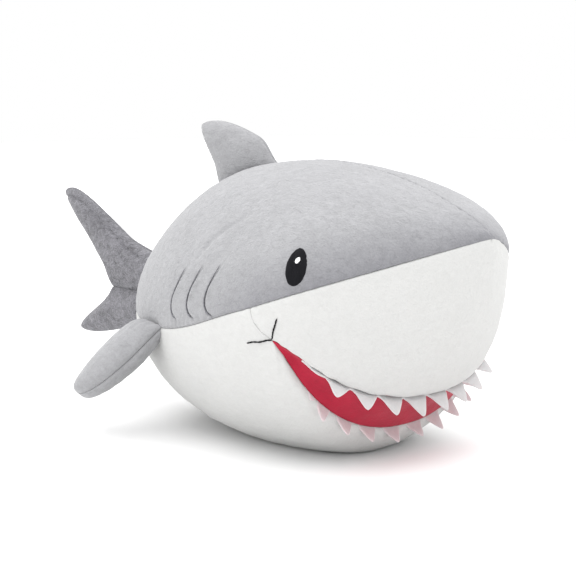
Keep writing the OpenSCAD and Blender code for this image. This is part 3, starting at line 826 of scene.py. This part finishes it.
class Fin:
    """Two panels sewn together round a soft filling, on a root line that is sewn to the body."""

    def __init__(self, body, origin, chord, span, lead, trail, thick, root, fill, sew, start, end,
                 fullness=0.8, material=GREY, pinch=0.9, stitched=None):
        self.body, self.material, self.pinch, self.stitched = body, material, pinch, stitched
        self.origin, self.chord, self.span = (np.asarray(v, float) for v in (origin, chord, span))
        self.normal = unit(np.cross(self.span, self.chord))
        self.lead, self.trail = lead, trail
        self.thick, self.root, self.fill = thick, root, fill
        self.sew, self.start, self.end, self.fullness = sew, start, end, fullness

    def half(self, s, r):
        full = mix(self.root, self.thick, np.sin(np.pi / 2 * clamp01(r / self.fill)))
        ends = np.sqrt(np.maximum(0.0, 1 - r**7))
        return full * (1 - 0.5 * r * r) * ends * np.maximum(0.0, 4 * s * (1 - s)) ** 0.55

    def point(self, s, r, w):
        """A point w off the middle plane, with the seam drawn in a little between the panels."""
        lead, trail = chain(self.lead, r), chain(self.trail, r)
        across = trail - lead
        chord_len = np.maximum(np.linalg.norm(across, axis=-1), 1e-6)
        pinch = self.pinch * np.exp(-np.abs(w) / self.pinch) / chord_len
        drawn_in = pinch * np.where(s < 0.5, 1, -1) * (np.abs(s - 0.5) * 2) ** 4
        q = lead + across * np.clip(s + drawn_in, 0, 1)[..., None]
        p = self.origin + q[..., :1] * self.chord + q[..., 1:] * self.span
        p = p + self.sew(p) * (1 - smooth(r / 0.3))[..., None]
        return p + self.normal * w[..., None]

    def panel(self, name, side, node, mirror=False, seed=0):
        lead_len = along(chain(self.lead, np.linspace(0, 1, 60))[:, None, :], 0)[-1, 0]
        rows = spread(lead_len, 0.7, COARSE * 0.9)
        cols = spread(45.0, 0.3, COARSE * 0.75, zone=6)
        r, s = np.meshgrid(rows, cols, indexing="ij")
        w = self.half(s, r)
        flat = self.point(s, r, 0 * w)
        edge = np.minimum(s, 1 - s) * 40
        from_root = along(flat, 0)
        ripple = np.sin(2 * np.pi * (from_root + 3 * noise(flat, 14, 11 + seed)) / 5.5)
        wrinkles = 0.3 * self.pinch * ripple * np.exp(-edge / 5) * smooth(edge / 1.5)
        folds = np.sin(2 * np.pi * s * 6 + 2 * noise(flat, 12, 13 + seed))
        gathers = 0.8 * self.pinch * folds * np.exp(-from_root / 9) * bump(s)
        soft = 0.5 * noise(flat + side * 40, 19, 15 + seed)
        inside = smooth(edge / 4)
        if self.stitched:
            inwards = along(flat, 1)
            soft = soft - 1.5 * bell(inwards - self.stitched, 1.1) * smooth((1 - r) / 0.1)
        w = np.maximum(0.35, w + (wrinkles + gathers + soft) * inside * smooth(w / 3))
        outer = self.point(s, r, side * (0.1 + w))
        outer = outer + pile(outer, 0.8)[..., None] * self.normal * side * inside[..., None]
        inner = self.point(s, r, side * (0.1 + np.maximum(0.0, w - FABRIC_T) * 0.96))
        if mirror:
            outer, inner = outer * [-1.0, 1, 1], inner * [-1.0, 1, 1]
        flip = [-1.0, 1, 1] if mirror else [1.0, 1, 1]
        start, end = (tuple(v * MM * flip) for v in (self.start, self.end))
        ride = ("torso", self.body, start, end)
        return shell(name, outer, inner, self.material, ride, "plush_grey", (node,), fill=self.fullness)

    def filling(self, name, node, mirror=False):
        r = np.linspace(FILLED_FROM, FILLED_TO, 24)[:, None]
        u = np.linspace(0, 2 * np.pi, 41)[None, :-1]
        s = 0.5 - 0.34 * np.cos(u)
        r, s = np.broadcast_arrays(r, s)
        w = np.maximum(0.2, self.half(s, r) - 3.2) * np.sign(np.sin(u)) * np.abs(np.sin(u)) ** 0.5
        p = self.point(s, r, w)
        p = p + 0.4 * noise(p, 9, 21)[..., None] * self.normal * np.sign(w)[..., None]
        if mirror:
            p = p * [-1.0, 1, 1]
        rings(name, p, FILLING, self.body, "stuffing", (node,), fill=self.fullness)


def ridge(y):
    return skin(y + NOSE_AHEAD, 90.0)[..., 2]


DORSAL_Y = (26.0, 86.0)
DORSAL_BOW = ridge(58.0) - (ridge(DORSAL_Y[0]) + ridge(DORSAL_Y[1])) / 2
DORSAL_FRONT = (DORSAL_Y[0], ridge(DORSAL_Y[0]) + DORSAL_BOW + ROOT_GAP - 1)
DORSAL_REAR = (DORSAL_Y[1], ridge(DORSAL_Y[1]) + DORSAL_BOW + ROOT_GAP - 1)
DORSAL_TIP = (105.0, 201.5)
TAIL_Y = BODY_LEN - NOSE_AHEAD + ROOT_GAP
NOTCH = np.array([215.0, 76.0])
UPPER_TIP, LOWER_TIP = (277.5, 147.5), (259.5, 39.0)
LOBE_OVERLAP = np.array([0.0, 0.7])

REAR = skin(np.concatenate([np.linspace(250, BODY_LEN, 200)] * 2), np.repeat([-90.0, 90.0], 200))
REAR = REAR[np.argsort(REAR[:, 2])]


def sew_dorsal(p):
    return np.stack([0 * p[..., 0], 0 * p[..., 0], ridge(p[..., 1]) - 1.2 - p[..., 2]], -1)


def sew_tail(p):
    rear = np.interp(p[..., 2], REAR[:, 2], REAR[:, 1]) - 1.5
    return np.stack([0 * rear, rear - p[..., 1], 0 * rear], -1)


def middle_fin(body, lead, trail, thick, root, fill, sew, start, end, material, stitched=None):
    return Fin(body, (0, 0, 0), (0, 1, 0), (0, 0, 1), lead, trail, thick, root, fill, sew,
               np.array([0.0, *start]), np.array([0.0, *end]), material=material, stitched=stitched)


SLOPE = unit(np.array(DORSAL_REAR) - np.array(DORSAL_FRONT))
DORSAL_MID = (np.array(DORSAL_FRONT) + np.array(DORSAL_REAR)) / 2
DORSAL_UP = np.array([-SLOPE[1], SLOPE[0]])
dorsal = middle_fin(
    "dorsal_fin",
    [[DORSAL_FRONT, (40, 193), (90, 212), DORSAL_TIP]],
    [[DORSAL_REAR, (91, 175), (106, 191), DORSAL_TIP]],
    10.0, 3.0, 0.3, sew_dorsal, DORSAL_MID - DORSAL_UP * 3, DORSAL_MID + DORSAL_UP * 9, GREY)
upper_lobe = middle_fin(
    "tail_fin",
    [[(TAIL_Y, 90), (200, 115), (267, 163), UPPER_TIP]],
    [straight((TAIL_Y, 75.8), NOTCH - LOBE_OVERLAP),
     [NOTCH - LOBE_OVERLAP, (222, 96), (276, 135), UPPER_TIP]],
    9.0, 4.0, 0.15, sew_tail, (TAIL_Y - 4, 76), (TAIL_Y + 14, 76), TAIL_GREY_SHADED, 6.5)
lower_lobe = middle_fin(
    "tail_fin",
    [straight((TAIL_Y, 77.2), NOTCH + LOBE_OVERLAP),
     [NOTCH + LOBE_OVERLAP, (222, 62), (261, 49), LOWER_TIP]],
    [[(TAIL_Y, 62), (190, 46), (248, 31), LOWER_TIP]],
    9.0, 4.0, 0.15, sew_tail, (TAIL_Y - 4, 76), (TAIL_Y + 14, 76), TAIL_GREY_SHADED)

PECTORAL_D, PECTORAL_ROOT, PECTORAL_LEN = 197.0, 34.0, 64.5


def root_point(d, a):
    return skin(d, a) + ROOT_GAP * outwards(d, a)


PECTORAL_FRONT = root_point(PECTORAL_D, -SEAM_DROP)
PECTORAL_REAR = root_point(PECTORAL_D + PECTORAL_ROOT, -5.0)
CHORD = unit(PECTORAL_REAR - PECTORAL_FRONT)
SPAN = unit([-0.6, 0.6, -0.84])
PECTORAL_OUT = unit(SPAN - CHORD * (SPAN @ CHORD))
PECTORAL_MID = (PECTORAL_FRONT + PECTORAL_REAR) / 2


def sew_pectoral(p):
    d = p[..., 1] + NOSE_AHEAD
    return skin(d, -SEAM_DROP - 0.02 * (d - PECTORAL_D)) - 0.8 * outwards(d, 0 * d - SEAM_DROP) - p


pectoral = Fin(
    "", PECTORAL_FRONT, CHORD, SPAN,
    [[(0, 0), (-10, 0.35 * PECTORAL_LEN), (-1.5, PECTORAL_LEN + 1), (26, PECTORAL_LEN)]],
    [[(float(np.linalg.norm(PECTORAL_REAR - PECTORAL_FRONT)), 0), (PECTORAL_ROOT + 5, 0.35 * PECTORAL_LEN),
      (43, PECTORAL_LEN - 1), (26, PECTORAL_LEN)]],
    13.5, 3.5, 0.33, sew_pectoral, PECTORAL_MID - PECTORAL_OUT * 3, PECTORAL_MID + PECTORAL_OUT * 10,
    pinch=1.9)

dorsal.panel("dorsal_fin_right_plush", 1, "dorsal_fin_right_panel")
dorsal.panel("dorsal_fin_left_plush", -1, "dorsal_fin_left_panel", seed=1)
dorsal.filling("dorsal_fin_filling", "dorsal_fin_stuffing")
for name, lobe in (("tail_upper_lobe", upper_lobe), ("tail_lower_lobe", lower_lobe)):
    lobe.panel(f"{name}_right_plush", 1, f"{name}_right_panel", seed=2)
    lobe.panel(f"{name}_left_plush", -1, f"{name}_left_panel", seed=3)
    lobe.filling(f"{name}_filling", f"{name}_stuffing")
for side, mirror in (("right", False), ("left", True)):
    pectoral.body = f"pectoral_fin_{side}"
    name = f"pectoral_fin_{side}"
    pectoral.panel(f"{name}_upper_plush", -1, f"{name}_upper_panel", mirror, seed=4)
    pectoral.panel(f"{name}_lower_plush", 1, f"{name}_lower_panel", mirror, seed=5)
    pectoral.filling(f"{name}_filling", f"{name}_stuffing", mirror)


def body_filling():
    d = (1 - np.cos(np.pi * np.linspace(0, 1, 50)))[:, None] / 2 * BODY_LEN
    a = np.linspace(-180, 180, 81)[None, :-1]
    d, a = np.broadcast_arrays(d, a)
    b = below_seam(a)
    between_lips = np.minimum(d - upper_lip(b), lower_lip(b) - d) / 8 + 1
    hollow = (a < 0) * 9.0 * clamp01(between_lips) * clamp01((b - CORNER_A) / 6 + 1)
    p = skin(d, a, 6.0 + hollow)
    p = p + 0.8 * noise(p, 12, 22)[..., None] * outwards(d, a)
    rings("body_filling", p, FILLING, "torso", "stuffing", ("body_stuffing",), fill=0.85)


body_filling()

# ---- The studio ----


def floor_material():
    n = Nodes("studio_floor")
    grain = n.noise(60.0, detail=2.0)
    colour = n.blend(n.ranged(grain, 0.3, 0.7), (0.86, 0.86, 0.86), (0.87, 0.87, 0.87))
    return n.finish(colour, n.bump(grain, 0.05, 0.2), 0.9)


floor_mesh = bpy.data.meshes.new("studio_floor")
floor_mesh.from_pydata([(-6, -6, 0), (6, -6, 0), (6, 6, 0), (-6, 6, 0)], [], [(0, 1, 2, 3)])
floor_mesh.materials.append(floor_material())
floor = bpy.data.objects.new("studio_floor", floor_mesh)
bpy.context.scene.collection.objects.link(floor)

world = bpy.data.worlds.new("studio")
world.use_nodes = True
world.node_tree.nodes["Background"].inputs["Color"].default_value = (1.0, 1.0, 1.0, 1.0)
world.node_tree.nodes["Background"].inputs["Strength"].default_value = 1.0
bpy.context.scene.world = world

# Lights and camera are placed in metres
KEY_ENERGY, KEY_ANGLE = 2.9, 95.0
FILL_SIZE, FILL_ENERGY = 1.2, 3.6
LENS, CAMERA_PLACE = 83.94, (-0.60836, -0.62734, 0.21488)

key = bpy.data.lights.new("key", "SUN")
key.energy = KEY_ENERGY
key.angle = math.radians(KEY_ANGLE)
key_object = bpy.data.objects.new("key", key)
bpy.context.scene.collection.objects.link(key_object)
key_object.rotation_euler = Vector((0.12, 0.0, 1.0)).to_track_quat("Z", "Y").to_euler()
fill = bpy.data.lights.new("fill", "AREA")
fill.size = FILL_SIZE
fill.energy = FILL_ENERGY
fill_object = bpy.data.objects.new("fill", fill)
bpy.context.scene.collection.objects.link(fill_object)
fill_object.location = (-1.3, 0.45, 0.5)
fill_object.rotation_euler = Vector((-1.3, 0.4, 0.4)).to_track_quat("Z", "Y").to_euler()

bpy.context.scene.view_settings.view_transform = "Standard"

VIEW_AZIMUTH, VIEW_ELEVATION = math.radians(-43.2441), math.radians(7.754)
BACK = Vector((
    math.sin(VIEW_AZIMUTH) * math.cos(VIEW_ELEVATION),
    -math.cos(VIEW_AZIMUTH) * math.cos(VIEW_ELEVATION),
    math.sin(VIEW_ELEVATION)))
camera = bpy.data.cameras.new("camera")
camera.sensor_width = 36.0
camera.lens = LENS
camera.clip_start, camera.clip_end = 0.05, 30.0
camera_object = bpy.data.objects.new("camera", camera)
bpy.context.scene.collection.objects.link(camera_object)
camera_object.location = CAMERA_PLACE
camera_object.rotation_euler = (-BACK).to_track_quat("-Z", "Y").to_euler()
bpy.context.scene.camera = camera_object
